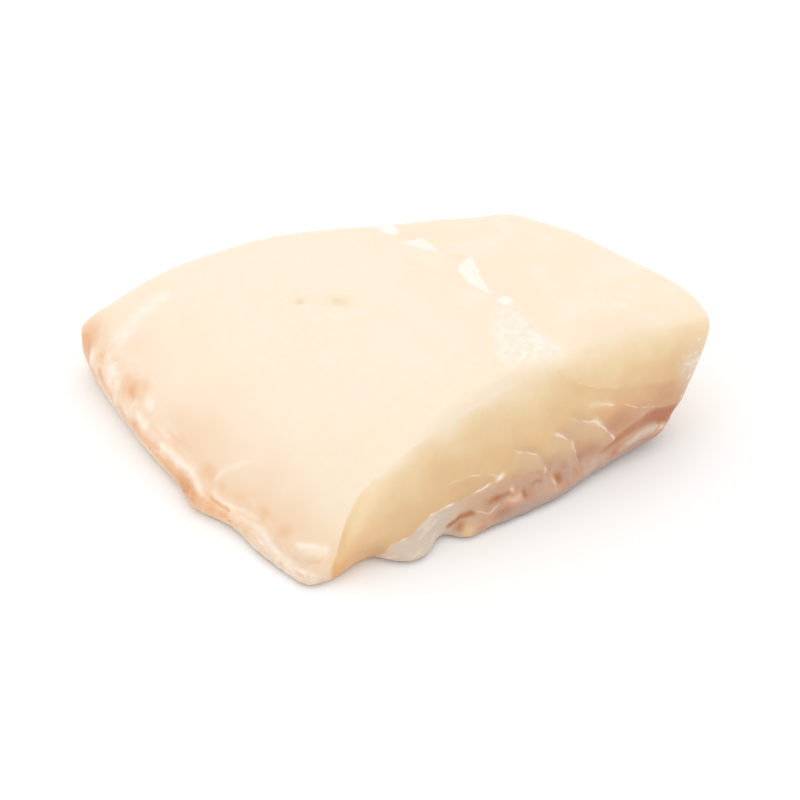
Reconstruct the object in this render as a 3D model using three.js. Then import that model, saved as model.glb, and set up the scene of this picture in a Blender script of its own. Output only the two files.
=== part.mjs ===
// A raw halibut fillet portion, skinned, lying on its flat side. One solid.
//
// Millimetres, +Z up. The muscle fibres run along Y. The front cut, across the
// fibres, faces -Y, and the back cut faces +Y. The thin fin edge is on the -X
// side and the thick loin edge on the +X side. The origin is under the middle
// of the bounding box, on the surface that the portion lies on.
//
// The form is a rounded box. Its foot is an outline on the table with a bowed
// side between each two corners. A wall rises from the foot, with its own flare
// on each side, and a crowned top closes it. Seam, folds, flakes and the lips
// along the lower edge are relief on that form.

import * as THREE from "three";
import { ImprovedNoise } from "three/addons/math/ImprovedNoise.js";

// Heights of the portion
const CROWN_HEIGHT = 34.2; // thickest place, beside the seam at the front cut
const RIM_HEIGHT_FRONT = 2.6; // where the top meets the fin edge
const RIM_HEIGHT_BACK = 10.3;
const RISE_LENGTH = 17; // the top climbs from the fin edge over this distance
const RISE_START_FRONT = 1.8; // x at which the climb begins, at the front cut
const RISE_START_BACK = -17;
const BACK_FALL = 0.27; // share of the height that the top loses at the back
const BACK_FALL_POWER = 1.5;
const LOIN_DROOP = 0.4; // the top sinks this much towards the loin edge
const LOIN_DROOP_START = 80;
const LOIN_DROOP_END = 101;

// Foot outline. Going round from the fin end of the front cut, each corner is
// followed by the side that leaves it.
//   at    corner, before rounding        bow   how far the side's middle stands out
//   round distance the rounding takes    lift  height of the lower edge
//   flare how far the wall shifts in x and y for each millimetre that it rises
//   edge  rounding of the upper edge     foot  rounding of the lower edge
//   bulge how far the wall swells
const OUTLINE = [
  { at: [-6.8, -1.6], round: 5, lift: 0.8, flare: [0.1, 0.1], edge: 1.6, foot: 1.2, bulge: 0.5 },
  { bow: 0, lift: 0.5, flare: [0, 0.21], edge: 1.2, foot: 1.8, bulge: 0.8 },
  { at: [94.4, 3.3], round: 8, lift: 8, flare: [0.345, 0.0], edge: 5.5, foot: 5, bulge: 0.5 },
  { bow: 0.4, lift: 4.5, flare: [0.3, 0], edge: 5, foot: 5, bulge: 1.2 },
  { at: [81.4, 62.7], round: 9, lift: 2, flare: [0.15, 0.1], edge: 4.5, foot: 4, bulge: 1.2 },
  { bow: 5.8, lift: 0.8, flare: [0, -0.03], edge: 3.2, foot: 2.4, bulge: 1.8 },
  { at: [-16.9, 96.2], round: 3.8, lift: 1.4, flare: [-0.02, 0.02], edge: 1.0, foot: 2.4, bulge: 0.5 },
  { bow: 4.4, lift: 0.6, flare: [0.03, 0], edge: 2.4, foot: 1.6, bulge: 1.2 },
];

const SOLE_MIDDLE = new THREE.Vector3(36, 44, 0);
const TURN_START = 0.15; // share of the way to a corner where the way inwards turns

// On the loin side of the seam the top falls away towards the front cut, in a
// wide soft rounding. On the fin side the upper edge of the cut is crisp.
const FRONT_FALL = { drop: 5.5, reach: 14, edgeY: 7.5, power: 2.5, from: 56, to: 74 };
const CORNER_HOLD = { share: 0.8, from: 82, to: 98 }; // less of it at the loin corner

// Mesh density: segments in each half of a corner, in each half of a side
// across and along the fibres, and rows up the roundings and the wall.
const CORNER_STEPS = 3;
const ACROSS_STEPS = 22;
const ALONG_STEPS = 16;
const FOOT_ROWS = 2;
const WALL_ROWS = 11;
const EDGE_ROWS = 5;

// The seam between the two muscle blocks, a shallow valley along the fibres.
const SEAM_X_FRONT = 60.8;
const SEAM_X_BACK = 52;
const SEAM_BEND = { from: 38, to: 88 }; // y over which the seam swings over
const SEAM_DEPTH_FRONT = 1.2;
const SEAM_DEPTH_BACK = 0.3;
const SEAM_WIDTH = 3.4;
const MUSCLE_SWELL = 0.9; // each block swells this much beside the seam

// A small hollow in the top, where a bone was pulled.
const HOLLOW = { x: 27, y: 52.5, depth: 1.0, long: 7, wide: 2.6, turn: -0.87 };

// The fin edge: a rolled rim with folds, which runs out into a thin flap at
// the front cut. The relief fades in over this stretch of y.
const RIM_ROLL = { in: 4.2, width: 2.2, height: 0.8, from: 30, to: 62 };
const FOLD_PITCH = 17;
const FOLD_DEPTH = 0.5;
const FLAP_BLEND = 1.6; // softness of the turn from the flap up to the flesh

// Waves of the fin edge: place along the edge, half width, and how far out. The
// middle one is the knob where the rolled rim ends.
const FIN_WAVES = [
  { y: 22.5, half: 4.5, out: -0.9 },
  { y: 35, half: 4.5, out: 2.1 },
  { y: 84, half: 6, out: 0.3 },
];

// Lips along the lower edge of the front cut. Each stands out more and more
// over the stretch of x called grows, and less and less over the one called
// fades. Reach is how high up the cut it goes.
const LIPS = [
  { grows: [-1, 9], fades: [10, 15], out: -2, reach: 8 },
  { grows: [11, 18], fades: [19.5, 28], out: 4.2, reach: 6.5 },
  { grows: [27, 32], fades: [49, 78], out: 4, reach: 7 },
  { grows: [80, 90], fades: [94, 104], out: 1.2, reach: 15 },
];

// Flakes: lobes that stand proud on the lower half of the front cut.
const FLAKES = [
  { x: 37, z: 10, wide: 9, high: 4.5, out: 0.8 },
  { x: 50, z: 12, wide: 7, high: 5, out: 1.0 },
  { x: 62, z: 14, wide: 6, high: 6, out: 1.0 },
  { x: 74, z: 13, wide: 7, high: 5.5, out: 1.0 },
];
const FLAKE_EDGE = 0.3; // share of a flake's width over which its edge falls

// A wall lower than this swells less, in proportion.
const FULL_SWELL_HEIGHT = 12;

const SURFACE_UNEVENNESS = 0.35;
const UNEVEN_PITCH = 17;
const CUT_UNEVENNESS = 0.3;
const CUT_PITCH = 8;

const FLESH_COLOUR = 0xf6e3c4;

const noise = new ImprovedNoise();
const { clamp, smoothstep, lerp } = THREE.MathUtils;
const bell = (distance, width) => Math.exp(-((distance / width) ** 2));

// The closed curve through the corners and the bowed middles of the sides. It
// has four control points for each corner and its side, so that curve
// parameters i/16 fall on them.
function outlineCurve() {
  const corners = OUTLINE.filter((station) => station.at);
  const sides = OUTLINE.filter((station) => !station.at);
  const places = corners.map(({ at }) => new THREE.Vector3(...at, 0));
  const points = corners.flatMap(({ round }, k) => {
    const here = places[k];
    const before = places[(k + 3) % 4];
    const after = places[(k + 1) % 4];
    const start = here.clone().lerp(before, round / here.distanceTo(before));
    const end = here.clone().lerp(after, round / here.distanceTo(after));
    const middle = start.clone().add(end).multiplyScalar(0.25).addScaledVector(here, 0.5);
    const along = after.clone().sub(here).normalize();
    const outwards = new THREE.Vector3(along.y, -along.x, 0);
    const crown = here.clone().lerp(after, 0.5).addScaledVector(outwards, sides[k].bow);
    return [start, middle, end, crown];
  });
  return new THREE.CatmullRomCurve3(points, true, "centripetal");
}

// Curve parameters round the outline, from the middle of the first corner.
function outlineParameters() {
  const parameters = [];
  for (let side = 0; side < 4; side++) {
    const sideSteps = side % 2 === 0 ? ACROSS_STEPS : ALONG_STEPS;
    [CORNER_STEPS, sideSteps, sideSteps, CORNER_STEPS].forEach((steps, span) => {
      for (let i = 0; i < steps; i++) {
        parameters.push(((4 * side + 1 + span + i / steps) / 16) % 1);
      }
    });
  }
  return parameters;
}

// A wall property at a curve parameter, eased between the eight stations. A
// corner station sits at parameter 1/16, its side's middle at 3/16, and so on.
function stationValue(parameter, read) {
  const place = (parameter * 16 - 1) / 2;
  const index = Math.floor(place);
  const share = smoothstep(place - index, 0, 1);
  const from = read(OUTLINE[((index % 8) + 8) % 8]);
  const to = read(OUTLINE[(((index + 1) % 8) + 8) % 8]);
  return lerp(from, to, share);
}

// Straight inwards from each corner and side, in the order of the outline. A
// corner's arrow reaches as far in from both of its sides as theirs do.
const INWARDS = OUTLINE.map((_, station) => {
  const corner = (k) => new THREE.Vector3(...OUTLINE[(2 * k + 8) % 8].at, 0);
  const fromSide = (k) => {
    const along = corner(k + 1).sub(corner(k)).normalize();
    return new THREE.Vector3(-along.y, along.x, 0);
  };
  const side = Math.floor(station / 2);
  const here = fromSide(side);
  if (station % 2 === 1) return here;
  const before = fromSide(side - 1);
  return before.clone().add(here).divideScalar(1 + before.dot(here));
});

// The way inwards at a curve parameter. It turns in good time before a corner,
// so that the rounded upper edge can be wider than the corner is round.
function inwardsAt(parameter) {
  const place = (((parameter * 16 - 1) / 2) + 8) % 8;
  const index = Math.floor(place);
  const [start, end] = index % 2 === 0 ? [0.5, 1 - TURN_START] : [TURN_START, 0.5];
  const share = smoothstep(place - index, start, end);
  return INWARDS[index].clone().lerp(INWARDS[(index + 1) % 8], share);
}

const finEdgeX = (y) => lerp(RISE_START_FRONT, RISE_START_BACK, smoothstep(y, -12, 70));
const seamX = (y) =>
  lerp(SEAM_X_FRONT, SEAM_X_BACK, smoothstep(y, SEAM_BEND.from, SEAM_BEND.to));

function frontFall(x, y) {
  const { drop, reach, edgeY, power, from, to } = FRONT_FALL;
  const near = clamp((edgeY + reach - y) / reach, 0, 1.2);
  const hold = CORNER_HOLD.share * smoothstep(x, CORNER_HOLD.from, CORNER_HOLD.to);
  return drop * near ** power * smoothstep(x, from, to) * (1 - hold);
}

// Height of the top above the table, without its relief.
function crownHeight(x, y) {
  const fromFin = FLAP_BLEND * Math.log1p(Math.exp((x - finEdgeX(y)) / FLAP_BLEND));
  const rise = 1 - Math.exp(-fromFin / RISE_LENGTH);
  const fall = 1 - BACK_FALL * (Math.max(y, 0) / 100) ** BACK_FALL_POWER;
  const droop = LOIN_DROOP * smoothstep(x, LOIN_DROOP_START, LOIN_DROOP_END);
  const rim = lerp(RIM_HEIGHT_FRONT, RIM_HEIGHT_BACK, smoothstep(y, 0, 95));
  return rim + (CROWN_HEIGHT - rim) * rise * fall - droop - frontFall(x, y);
}

// Seam valley with the muscle blocks swelling beside it.
function seamRelief(x, y) {
  const across = x - seamX(y);
  const swell = MUSCLE_SWELL * (bell(across - 15, 12) + bell(across + 22, 16));
  const depth = lerp(SEAM_DEPTH_FRONT, SEAM_DEPTH_BACK, smoothstep(y, 20, 85));
  return swell - depth * bell(across, SEAM_WIDTH);
}

function hollowRelief(x, y) {
  const dx = x - HOLLOW.x;
  const dy = y - HOLLOW.y;
  const along = dx * Math.cos(HOLLOW.turn) + dy * Math.sin(HOLLOW.turn);
  const across = dy * Math.cos(HOLLOW.turn) - dx * Math.sin(HOLLOW.turn);
  return -HOLLOW.depth * bell(along, HOLLOW.long) * bell(across, HOLLOW.wide);
}

// The rolled rim along the fin edge, with folds running in from it.
function rimRelief(x, y) {
  const fromFin = x - finEdgeX(y);
  const roll = RIM_ROLL.height * bell(fromFin - RIM_ROLL.in, RIM_ROLL.width);
  const turns = (y + 3 * noise.noise(0, y / 12, 1)) / FOLD_PITCH;
  const fold = FOLD_DEPTH * Math.sin(2 * Math.PI * turns) * bell(fromFin - 7, 5);
  return (roll + fold) * smoothstep(y, RIM_ROLL.from, RIM_ROLL.to);
}

function topHeight(x, y) {
  const uneven = SURFACE_UNEVENNESS * noise.noise(x / UNEVEN_PITCH, y / UNEVEN_PITCH, 7);
  return crownHeight(x, y) + seamRelief(x, y) + hollowRelief(x, y) + rimRelief(x, y) + uneven;
}

// How far the front cut stands out at a place on it.
function cutRelief(x, z) {
  const flakes = FLAKES.map(({ x: cx, z: cz, wide, high, out }) => {
    const reach = Math.hypot((x - cx) / wide, (z - cz) / high);
    return out * (1 - smoothstep(reach, 1 - FLAKE_EDGE, 1 + FLAKE_EDGE));
  });
  const lips = LIPS.map(({ grows, fades, out, reach }) => {
    const along = smoothstep(x, ...grows) * (1 - smoothstep(x, ...fades));
    return out * along * (1 - smoothstep(z, reach * 0.35, reach));
  });
  return Math.max(...flakes) + lips.reduce((sum, lip) => sum + lip);
}

// One upright profile, from the flat underside up to the start of the top.
function wallProfile(curve, parameter) {
  const value = (key) => stationValue(parameter, (station) => station[key]);
  const foot = curve.getPoint(parameter);
  const tangent = curve.getTangent(parameter);
  const outwards = new THREE.Vector3(tangent.y, -tangent.x, 0).normalize();
  const onFin = smoothstep(-outwards.x, 0.75, 0.98);
  const waves = FIN_WAVES.map(({ y, half, out }) => out * bell(foot.y - y, half));
  foot.addScaledVector(outwards, onFin * waves.reduce((sum, wave) => sum + wave));
  const flare = new THREE.Vector3(
    stationValue(parameter, ({ flare }) => flare[0]),
    stationValue(parameter, ({ flare }) => flare[1]),
    0,
  );

  // The top edge lies where the leaning wall meets the crowned top.
  const edge = foot.clone();
  for (let pass = 0; pass < 4; pass++) {
    const height = topHeight(edge.x, edge.y);
    edge.copy(foot).addScaledVector(flare, height - value("lift"));
    edge.z = height;
  }
  const lifted = foot.clone().setZ(value("lift"));
  const wall = edge.clone().sub(lifted);
  const wallLength = wall.length();
  const onCut = smoothstep(-outwards.y, 0.75, 0.98);
  const footRound = Math.min(value("foot"), 0.35 * wallLength);
  const edgeRound = Math.min(value("edge"), 0.4 * wallLength);

  const inwards = SOLE_MIDDLE.clone().sub(foot).setLength(value("foot") + value("lift"));
  const sole = foot.clone().add(inwards);
  sole.addScaledVector(outwards, Math.min(onCut * cutRelief(foot.x, 0), 0));
  const wallStart = lifted.clone().addScaledVector(wall, footRound / wallLength);
  const wallEnd = edge.clone().addScaledVector(wall, -edgeRound / wallLength);
  const inner = edge.clone().addScaledVector(inwardsAt(parameter), edgeRound);
  inner.z = topHeight(inner.x, inner.y);

  const heel = lifted.clone().setZ(value("lift") * 0.3);
  const points = [
    ...new THREE.QuadraticBezierCurve3(sole, heel, wallStart).getPoints(FOOT_ROWS),
    ...new THREE.LineCurve3(wallStart, wallEnd).getPoints(WALL_ROWS).slice(1, -1),
    ...new THREE.QuadraticBezierCurve3(wallEnd, edge, inner).getPoints(EDGE_ROWS),
  ];

  const fullness = Math.min(wallLength / FULL_SWELL_HEIGHT, 1);
  const last = points.length - 1;
  points.forEach((point, row) => {
    if (row === 0 || row === last) return;
    const up = row / last;
    const { x, y, z } = point.clone().divideScalar(CUT_PITCH);
    const rough = CUT_UNEVENNESS * noise.noise(x, y, z);
    const swell = value("bulge") * Math.sin(Math.PI * Math.min(up * 1.1, 1));
    const relief = onCut * cutRelief(point.x, point.z);
    const hold = 1 - smoothstep(up, 0.55, 0.85);
    point.addScaledVector(outwards, fullness * (swell + hold * rough) + hold * relief);
  });
  return points;
}

// How far each vertex of an edge lies between the edge's ends, along one axis.
function edgeShares(edge, axis) {
  const from = edge[0][axis];
  const length = edge.at(-1)[axis] - from;
  return edge.map((point) => (point[axis] - from) / length);
}

// Fills the top between its four edges: each place blends between the edges, and
// its height follows the crowned top. Gives the rows of vertex numbers.
function topGrid(edges, vertices) {
  const { front, loin, back, fin } = edges;
  const points = (edge) => edge.map((index) => vertices[index].clone());
  const [frontPoints, loinPoints, backPoints, finPoints] = [front, loin, back, fin].map(points);
  const acrossFront = edgeShares(frontPoints, "x");
  const acrossBack = edgeShares(backPoints, "x");
  const alongFin = edgeShares(finPoints, "y");
  const alongLoin = edgeShares(loinPoints, "y");
  const across = front.length - 1;
  const along = loin.length - 1;
  return loin.map((_, j) => {
    return front.map((_, i) => {
      if (j === 0) return front[i];
      if (j === along) return back[i];
      if (i === 0) return fin[j];
      if (i === across) return loin[j];
      const u = lerp(acrossFront[i], acrossBack[i], j / along);
      const v = lerp(alongFin[j], alongLoin[j], i / across);
      const x = lerp(finPoints[j].x, loinPoints[j].x, u);
      const y = lerp(frontPoints[i].y, backPoints[i].y, v);
      return vertices.push(new THREE.Vector3(x, y, topHeight(x, y))) - 1;
    });
  });
}

function filletGeometry() {
  const vertices = [];
  const faces = [];
  const quad = (a, b, c, d) => faces.push(a, b, c, a, c, d);

  // The wall, one upright profile after the other
  const curve = outlineCurve();
  const profiles = outlineParameters().map((parameter) => wallProfile(curve, parameter));
  const count = profiles.length;
  const rowCount = profiles[0].length;
  profiles.forEach((profile) => vertices.push(...profile));
  for (let i = 0; i < count; i++) {
    const here = i * rowCount;
    const next = ((i + 1) % count) * rowCount;
    for (let row = 0; row < rowCount - 1; row++) {
      quad(here + row, next + row, next + row + 1, here + row + 1);
    }
  }

  // The flat underside, a fan round its middle
  const centre = vertices.push(SOLE_MIDDLE.clone()) - 1;
  for (let i = 0; i < count; i++) {
    faces.push(centre, ((i + 1) % count) * rowCount, i * rowCount);
  }

  // The top, between the inner ends of the profiles
  const across = 2 * (CORNER_STEPS + ACROSS_STEPS);
  const along = 2 * (CORNER_STEPS + ALONG_STEPS);
  const endOf = (i) => (i % count) * rowCount + rowCount - 1;
  const edgeFrom = (start, length) =>
    Array.from({ length: length + 1 }, (_, i) => endOf(start + i));
  const edges = {
    front: edgeFrom(0, across),
    loin: edgeFrom(across, along),
    back: edgeFrom(across + along, across).reverse(),
    fin: edgeFrom(2 * across + along, along).reverse(),
  };
  const grid = topGrid(edges, vertices);
  for (let j = 0; j < along; j++) {
    for (let i = 0; i < across; i++) {
      quad(grid[j][i], grid[j][i + 1], grid[j + 1][i + 1], grid[j + 1][i]);
    }
  }

  const geometry = new THREE.BufferGeometry().setFromPoints(vertices);
  geometry.setIndex(faces);
  geometry.computeBoundingBox();
  const { min, max } = geometry.boundingBox;
  geometry.translate(-(min.x + max.x) / 2, -(min.y + max.y) / 2, -min.z);
  geometry.computeVertexNormals();
  return geometry;
}

const flesh = new THREE.MeshStandardMaterial({ color: FLESH_COLOUR, roughness: 0.35, metalness: 0 });
const fillet = new THREE.Mesh(filletGeometry(), flesh);
fillet.name = "halibut_fillet";

const portion = new THREE.Group();
portion.add(fillet);
export default portion;
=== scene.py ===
"""A raw, skinned halibut fillet portion on a pale floor in soft studio light.

The portion's solid is remeshed finely, and the relief and the tissue that the flesh shows are
worked into it: the seam, the flakes and membranes of the front cut, and the folded fin edge.
Places are in millimetres, in the part's frame: fibres along Y, front cut facing -Y, +Z up.
"""
import itertools
import math

import bmesh
import bpy
import numpy as np
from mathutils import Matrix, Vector


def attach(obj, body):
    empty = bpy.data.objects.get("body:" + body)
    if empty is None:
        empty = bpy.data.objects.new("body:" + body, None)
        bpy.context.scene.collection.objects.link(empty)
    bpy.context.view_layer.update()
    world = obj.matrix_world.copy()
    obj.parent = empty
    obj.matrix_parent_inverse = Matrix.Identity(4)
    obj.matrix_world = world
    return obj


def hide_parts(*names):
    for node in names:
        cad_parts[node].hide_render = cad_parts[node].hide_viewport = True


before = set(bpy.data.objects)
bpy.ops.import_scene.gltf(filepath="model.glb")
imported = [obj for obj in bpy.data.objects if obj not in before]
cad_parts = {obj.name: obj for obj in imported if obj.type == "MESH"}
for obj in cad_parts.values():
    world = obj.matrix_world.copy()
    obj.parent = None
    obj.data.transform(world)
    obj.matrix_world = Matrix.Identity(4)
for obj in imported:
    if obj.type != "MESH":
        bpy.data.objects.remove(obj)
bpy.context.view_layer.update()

NODE = "halibut_fillet"
MM = 0.001

# Mesh fineness
VOXEL = 0.8
SMOOTHING_ROUNDS = 6
REFINED_SMOOTHING_ROUNDS = 2
RESTING_HEIGHT = 0.25  # what lies lower than this takes no relief
CURVE_STEPS = 8
OUTLINE_STEPS = 5

# Where the mesh is finer: how far round the cut's edge, the seam, the fan and the fin edge
DETAIL_BEFORE_CUT = 1.5
DETAIL_BESIDE_SEAM = 4
DETAIL_ROUND_FAN = 12
DETAIL_FROM_FIN = 8
DETAIL_LOWEST = 0.6

# Camera: the photograph's view
CAMERA_AZIMUTH = -29
CAMERA_ELEVATION = 38
CAMERA_DISTANCE = 520
CAMERA_LENS = 100
CAMERA_SENSOR = 36
CAMERA_AIM = (1.92, 1.47, 0.0)

# How bright the studio is: a little more than white, so that the floor stays clean
LIGHT = 1.1

# The studio, in metres and watts
FLOOR_SIZE = 6
FLOOR_WHITE = (0.93, 0.93, 0.93, 1)
KEY_PLACE = (-0.1, 0.35, 1.0)
KEY_AIM = (0, 0, 0.015)
KEY_SIZE = 1.2
KEY_POWER = LIGHT

# What the flesh carries at each place: its tone, from ivory at 0 to brown at 1, the colours
# that lie over it, how wet it is, and the distance and the paleness of the thin lines
# The tissue layer also carries painted highlights, and the tone and slot layers carry some painted
# light and shade
LAYERS = ("tone", "pink", "amber", "film", "tissue", "slot", "skin", "wet", "thread",
          "thread_pale", "shreds", "stain")

# The noise's hash: a factor for each axis, one to stir them, and ten bits for each angle
HASH_AXES = (73856093, 19349663, 83492791)
HASH_STIR = 1274126177
HASH_SHIFT = 13
HASH_MASK = 0x7FFFFFFF
TEN_BITS = 1023
SEED_STEP = 31.7
NOISE_GAIN = 1.6  # brings the noise out to about -1 and 1

# Heights and depths of the relief
SWELL = 0.14
UNEVENNESS = 0.05
SEAM_DEPTH = 0.25
CREASE_LIP_HEIGHT = 0.22
CREASE_DEPTH = 0.18
WHITE_WEDGE_HEIGHT = 0.12
FAN_HEIGHT = 0.22
FLECK_HEIGHT = 0.10
DENT_RIDGE_HEIGHT = 0.12
FIN_STREAK_HEIGHT = 0.07
LUMP_HEIGHT = 0.30
FIN_FOLD_HEIGHT = 0.25
FIN_GRAIN_HEIGHT = 0.08
SEPTUM_HEIGHT = 0.12
BROWN_WEDGE_DEPTH = 0.35
ROLL_HEIGHT = 0.4
FILM_HEIGHT = 0.22
FILM_STREAK_HEIGHT = 0.06
FLAKE_LINE_HEIGHT = 0.12
FOOT_HEIGHT = 0.2
FOLD_RIM_HEIGHT = 0.25
LOW_LOBE_HEIGHT = 0.35
SLOT_DEPTH = 0.45
GLINT_HEIGHT = 0.15
CUT_RIM_HEIGHT = 0.06
LOIN_GRAIN_HEIGHT = 0.06

# Half widths of the cut's edge, where it is crisp and where it is soft
CRISP_EDGE = 0.6
SOFT_EDGE = 2.4

# Where things come in or go out, as (from, to): along x, along y, or in from the fin edge
EDGE_SOFTENS_X = (16, 26)
CUT_BEGINS_X = (-42, -40.3)
FOOT_BEGINS_X = (-7, 0)
FOOT_ENDS_X = (29, 33)
FILM_BEGINS_X = (-30.5, -28.5)
FILM_ENDS_X = (-1, 2.5)
REAR_BEGINS_Y = (24, 32)
WASH_WEAKENS_Y = (-2, 12)
WASH_ENDS_Y = (42, 50)
FOLDS_BEGIN_Y = (10, 15)
FOLDS_END_Y = (40, 46)
FIN_ENDS = (14, 24)

# How far in the peach wash reaches, at the front and at the back
WASH_WIDTH_FRONT = 18
WASH_WIDTH_BACK = 11


# Numbers over many places at once

def ease(value, start, end):
    """0 at start, 1 at end, smooth between."""
    share = np.clip((value - start) / (end - start), 0, 1)
    return share * share * (3 - 2 * share)


def bell(value, width):
    return np.exp(-((value / width) ** 2))


def mix(a, b, share):
    return a + (b - a) * share


def noise(places, pitch, seed):
    """Smooth noise from about -1 to 1, with features one pitch apart."""
    at = places / np.asarray(pitch, float) + SEED_STEP * (seed + 1)
    cell = np.floor(at).astype(np.int64)
    within = at - cell
    weight = within**3 * (within * (within * 6 - 15) + 10)
    total = np.zeros(len(places))
    for corner in itertools.product((0, 1), repeat=3):
        c = cell + corner
        key = np.bitwise_xor.reduce(c * HASH_AXES, axis=1)
        key = (key ^ (key >> HASH_SHIFT)) * HASH_STIR & HASH_MASK
        angle = (key & TEN_BITS) * (2 * math.pi / (TEN_BITS + 1))
        rise = ((key >> 10) & TEN_BITS) / (TEN_BITS / 2) - 1
        flat = np.sqrt(np.clip(1 - rise * rise, 0, 1))
        away = within - corner
        slope = away[:, 0] * flat * np.cos(angle) + away[:, 1] * flat * np.sin(angle)
        slope += away[:, 2] * rise
        share = np.prod(np.where(corner, weight, 1 - weight), axis=1)
        total += share * slope
    return total * NOISE_GAIN


def ragged(places, reach, pitch, seed):
    """The places moved about a little, so that what is measured at them gets an uneven edge."""
    return places + reach * np.stack([noise(places, pitch, seed + i) for i in range(3)], axis=1)


def curve(points, steps=CURVE_STEPS):
    """A smooth line through the points, as close straight pieces."""
    p = np.asarray(points, float)
    p = np.vstack([2 * p[0] - p[1], p, 2 * p[-1] - p[-2]])
    out = []
    for a, b, c, d in zip(p, p[1:], p[2:], p[3:]):
        for t in np.arange(steps) / steps:
            out.append(0.5 * (2 * b + (c - a) * t + (2 * a - 5 * b + 4 * c - d) * t**2
                              + (3 * b - a - 3 * c + d) * t**3))
    out.append(p[-2])
    return np.array(out)


def measure(places, line):
    """Distance to a line, its sign (positive on the left), and the share along it."""
    best = np.full(len(places), 1e9)
    side = np.ones(len(places))
    along = np.zeros(len(places))
    lengths = np.linalg.norm(np.diff(line, axis=0), axis=1)
    ends = np.concatenate([[0], np.cumsum(lengths)])
    for i, (a, b) in enumerate(zip(line, line[1:])):
        step = b - a
        rel = places - a
        share = np.clip(rel @ step / max(step @ step, 1e-9), 0, 1)
        away = rel - share[:, None] * step
        distance = np.linalg.norm(away, axis=1)
        closer = distance < best
        best[closer] = distance[closer]
        cross = step[0] * rel[:, 1] - step[1] * rel[:, 0]
        side[closer] = np.where(cross[closer] >= 0, 1, -1)
        along[closer] = (ends[i] + share[closer] * lengths[i]) / ends[-1]
    return best, side, along


def taper(along, length):
    """Fades a line out towards both of its ends."""
    return ease(along, 0, length) * ease(1 - along, 0, length)


def patch(places, corners, soft):
    """1 inside a closed outline, 0 outside, with a soft edge."""
    line = curve([*corners, corners[0]], OUTLINE_STEPS)
    best, _, _ = measure(places, line)
    inside = np.zeros(len(places), bool)
    for a, b in zip(line, line[1:]):
        crosses = (a[1] > places[:, 1]) != (b[1] > places[:, 1])
        with np.errstate(divide="ignore", invalid="ignore"):
            x = a[0] + (places[:, 1] - a[1]) * (b[0] - a[0]) / (b[1] - a[1])
        inside ^= crosses & (places[:, 0] < x)
    return ease(np.where(inside, best, -best), -soft, soft)


# Fine mesh of the solid

def evaluated(piece):
    """The piece's mesh with its modifiers applied, in place of the one it had."""
    graph = bpy.context.evaluated_depsgraph_get()
    mesh = bpy.data.meshes.new_from_object(piece.evaluated_get(graph))
    piece.modifiers.clear()
    piece.data = mesh
    return mesh


def vertex_arrays(mesh):
    places = np.empty(len(mesh.vertices) * 3)
    normals = np.empty(len(mesh.vertices) * 3)
    mesh.vertices.foreach_get("co", places)
    mesh.vertices.foreach_get("normal", normals)
    return places.reshape(-1, 3) / MM, normals.reshape(-1, 3)


def set_places(mesh, places):
    mesh.vertices.foreach_set("co", (places * MM).ravel())
    mesh.update()


def smoothed(piece, rounds):
    smooth = piece.modifiers.new("smooth", "SMOOTH")
    smooth.factor = 0.5
    smooth.iterations = rounds
    return evaluated(piece)


def needs_detail(places):
    """The cut, the seam, the fan and the fin edge get a finer mesh."""
    x, y, z = places.T
    cut = past_edge(places) > -DETAIL_BEFORE_CUT
    seam = (np.abs(x - seam_x(y)) < DETAIL_BESIDE_SEAM) & (z > TOP_CROWN)
    fan = (np.hypot(x - FAN_MIDDLE[0], y - FAN_MIDDLE[1]) < DETAIL_ROUND_FAN) & (z > TOP_CROWN)
    fin = from_fin(places) < DETAIL_FROM_FIN
    return (cut | seam | fan | fin) & (z > DETAIL_LOWEST)


def refine(mesh):
    """Splits the faces where the detail is."""
    chosen = needs_detail(vertex_arrays(mesh)[0])
    bm = bmesh.new()
    bm.from_mesh(mesh)
    edges = [e for e in bm.edges if chosen[e.verts[0].index] and chosen[e.verts[1].index]]
    bmesh.ops.subdivide_edges(bm, edges=edges, cuts=1, use_grid_fill=True)
    bm.to_mesh(mesh)
    bm.free()


# Most of the places in the lists below were picked by eye in the photo. A scratch script took
# them back through the camera onto the solid and printed them, and some were then moved by hand.

# Places on the top, as (x, y)
SEAM = [(11.5, 30), (14, 23), (17, 15), (20, 6), (20, -3), (19, -11), (20, -18), (20.5, -26),
        (21, -33), (20, -39)]
CREASE = [(8.5, 13.5), (9.5, 8.5), (12.5, 1.5), (15, -4), (17, -7), (19, -10)]
WEDGES = [
    [(17.5, 2.5), (20.5, 5), (22.5, 5), (22, 2), (20.5, -3.5), (19.5, -10), (17.5, -5)],
    [(12.5, 20), (17, 19), (18, 14.5), (18, 12), (15, 15)],
    [(10.5, 28.5), (14, 28), (14.5, 24.5), (11.5, 25)],
    [(18.5, -11.5), (21, -12.5), (21.5, -15), (19, -15)],
]
FAN = [(17.5, -15.5), (20.5, -16.5), (20.5, -21), (20.5, -28.5), (21.5, -34.5), (21, -36.5),
       (16.5, -37.5), (12.5, -37.5), (7, -36), (8.5, -30), (11.5, -23.5)]
FAN_BORDER = FAN[1:6]
FAN_MIDDLE = (15, -28)

# Small spots on the top. A dent has its middle, half length, half width, depth and darkness,
# and a fleck its middle, half length and half width.
DENTS = [((-18, 12), 1.4, 1.3, 0.5, 0.34), ((-11, 6), 4.2, 1.8, 0.4, 0.28)]
DENT_TURN = math.radians(-60)
DENT_RIDGE = [(-16, 8), (-15.5, 2), (-13, 0), (-10, -1.5), (-3, -3)]
# Sheen flecks: pale spots near the front edge past the seam, painted highlights of the wet surface
SHEEN_FLECKS = [((40.5, -30), 4.5, 2.2), ((45, -35), 4.5, 1.6), ((30, -16.5), 1.6, 0.9),
          ((36.5, -24), 2.4, 1.0), ((43.5, -27.5), 2.8, 1.1), ((47, -24.5), 2.2, 0.9)]
SHEEN_FLECK_TURN = math.radians(-35)

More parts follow.
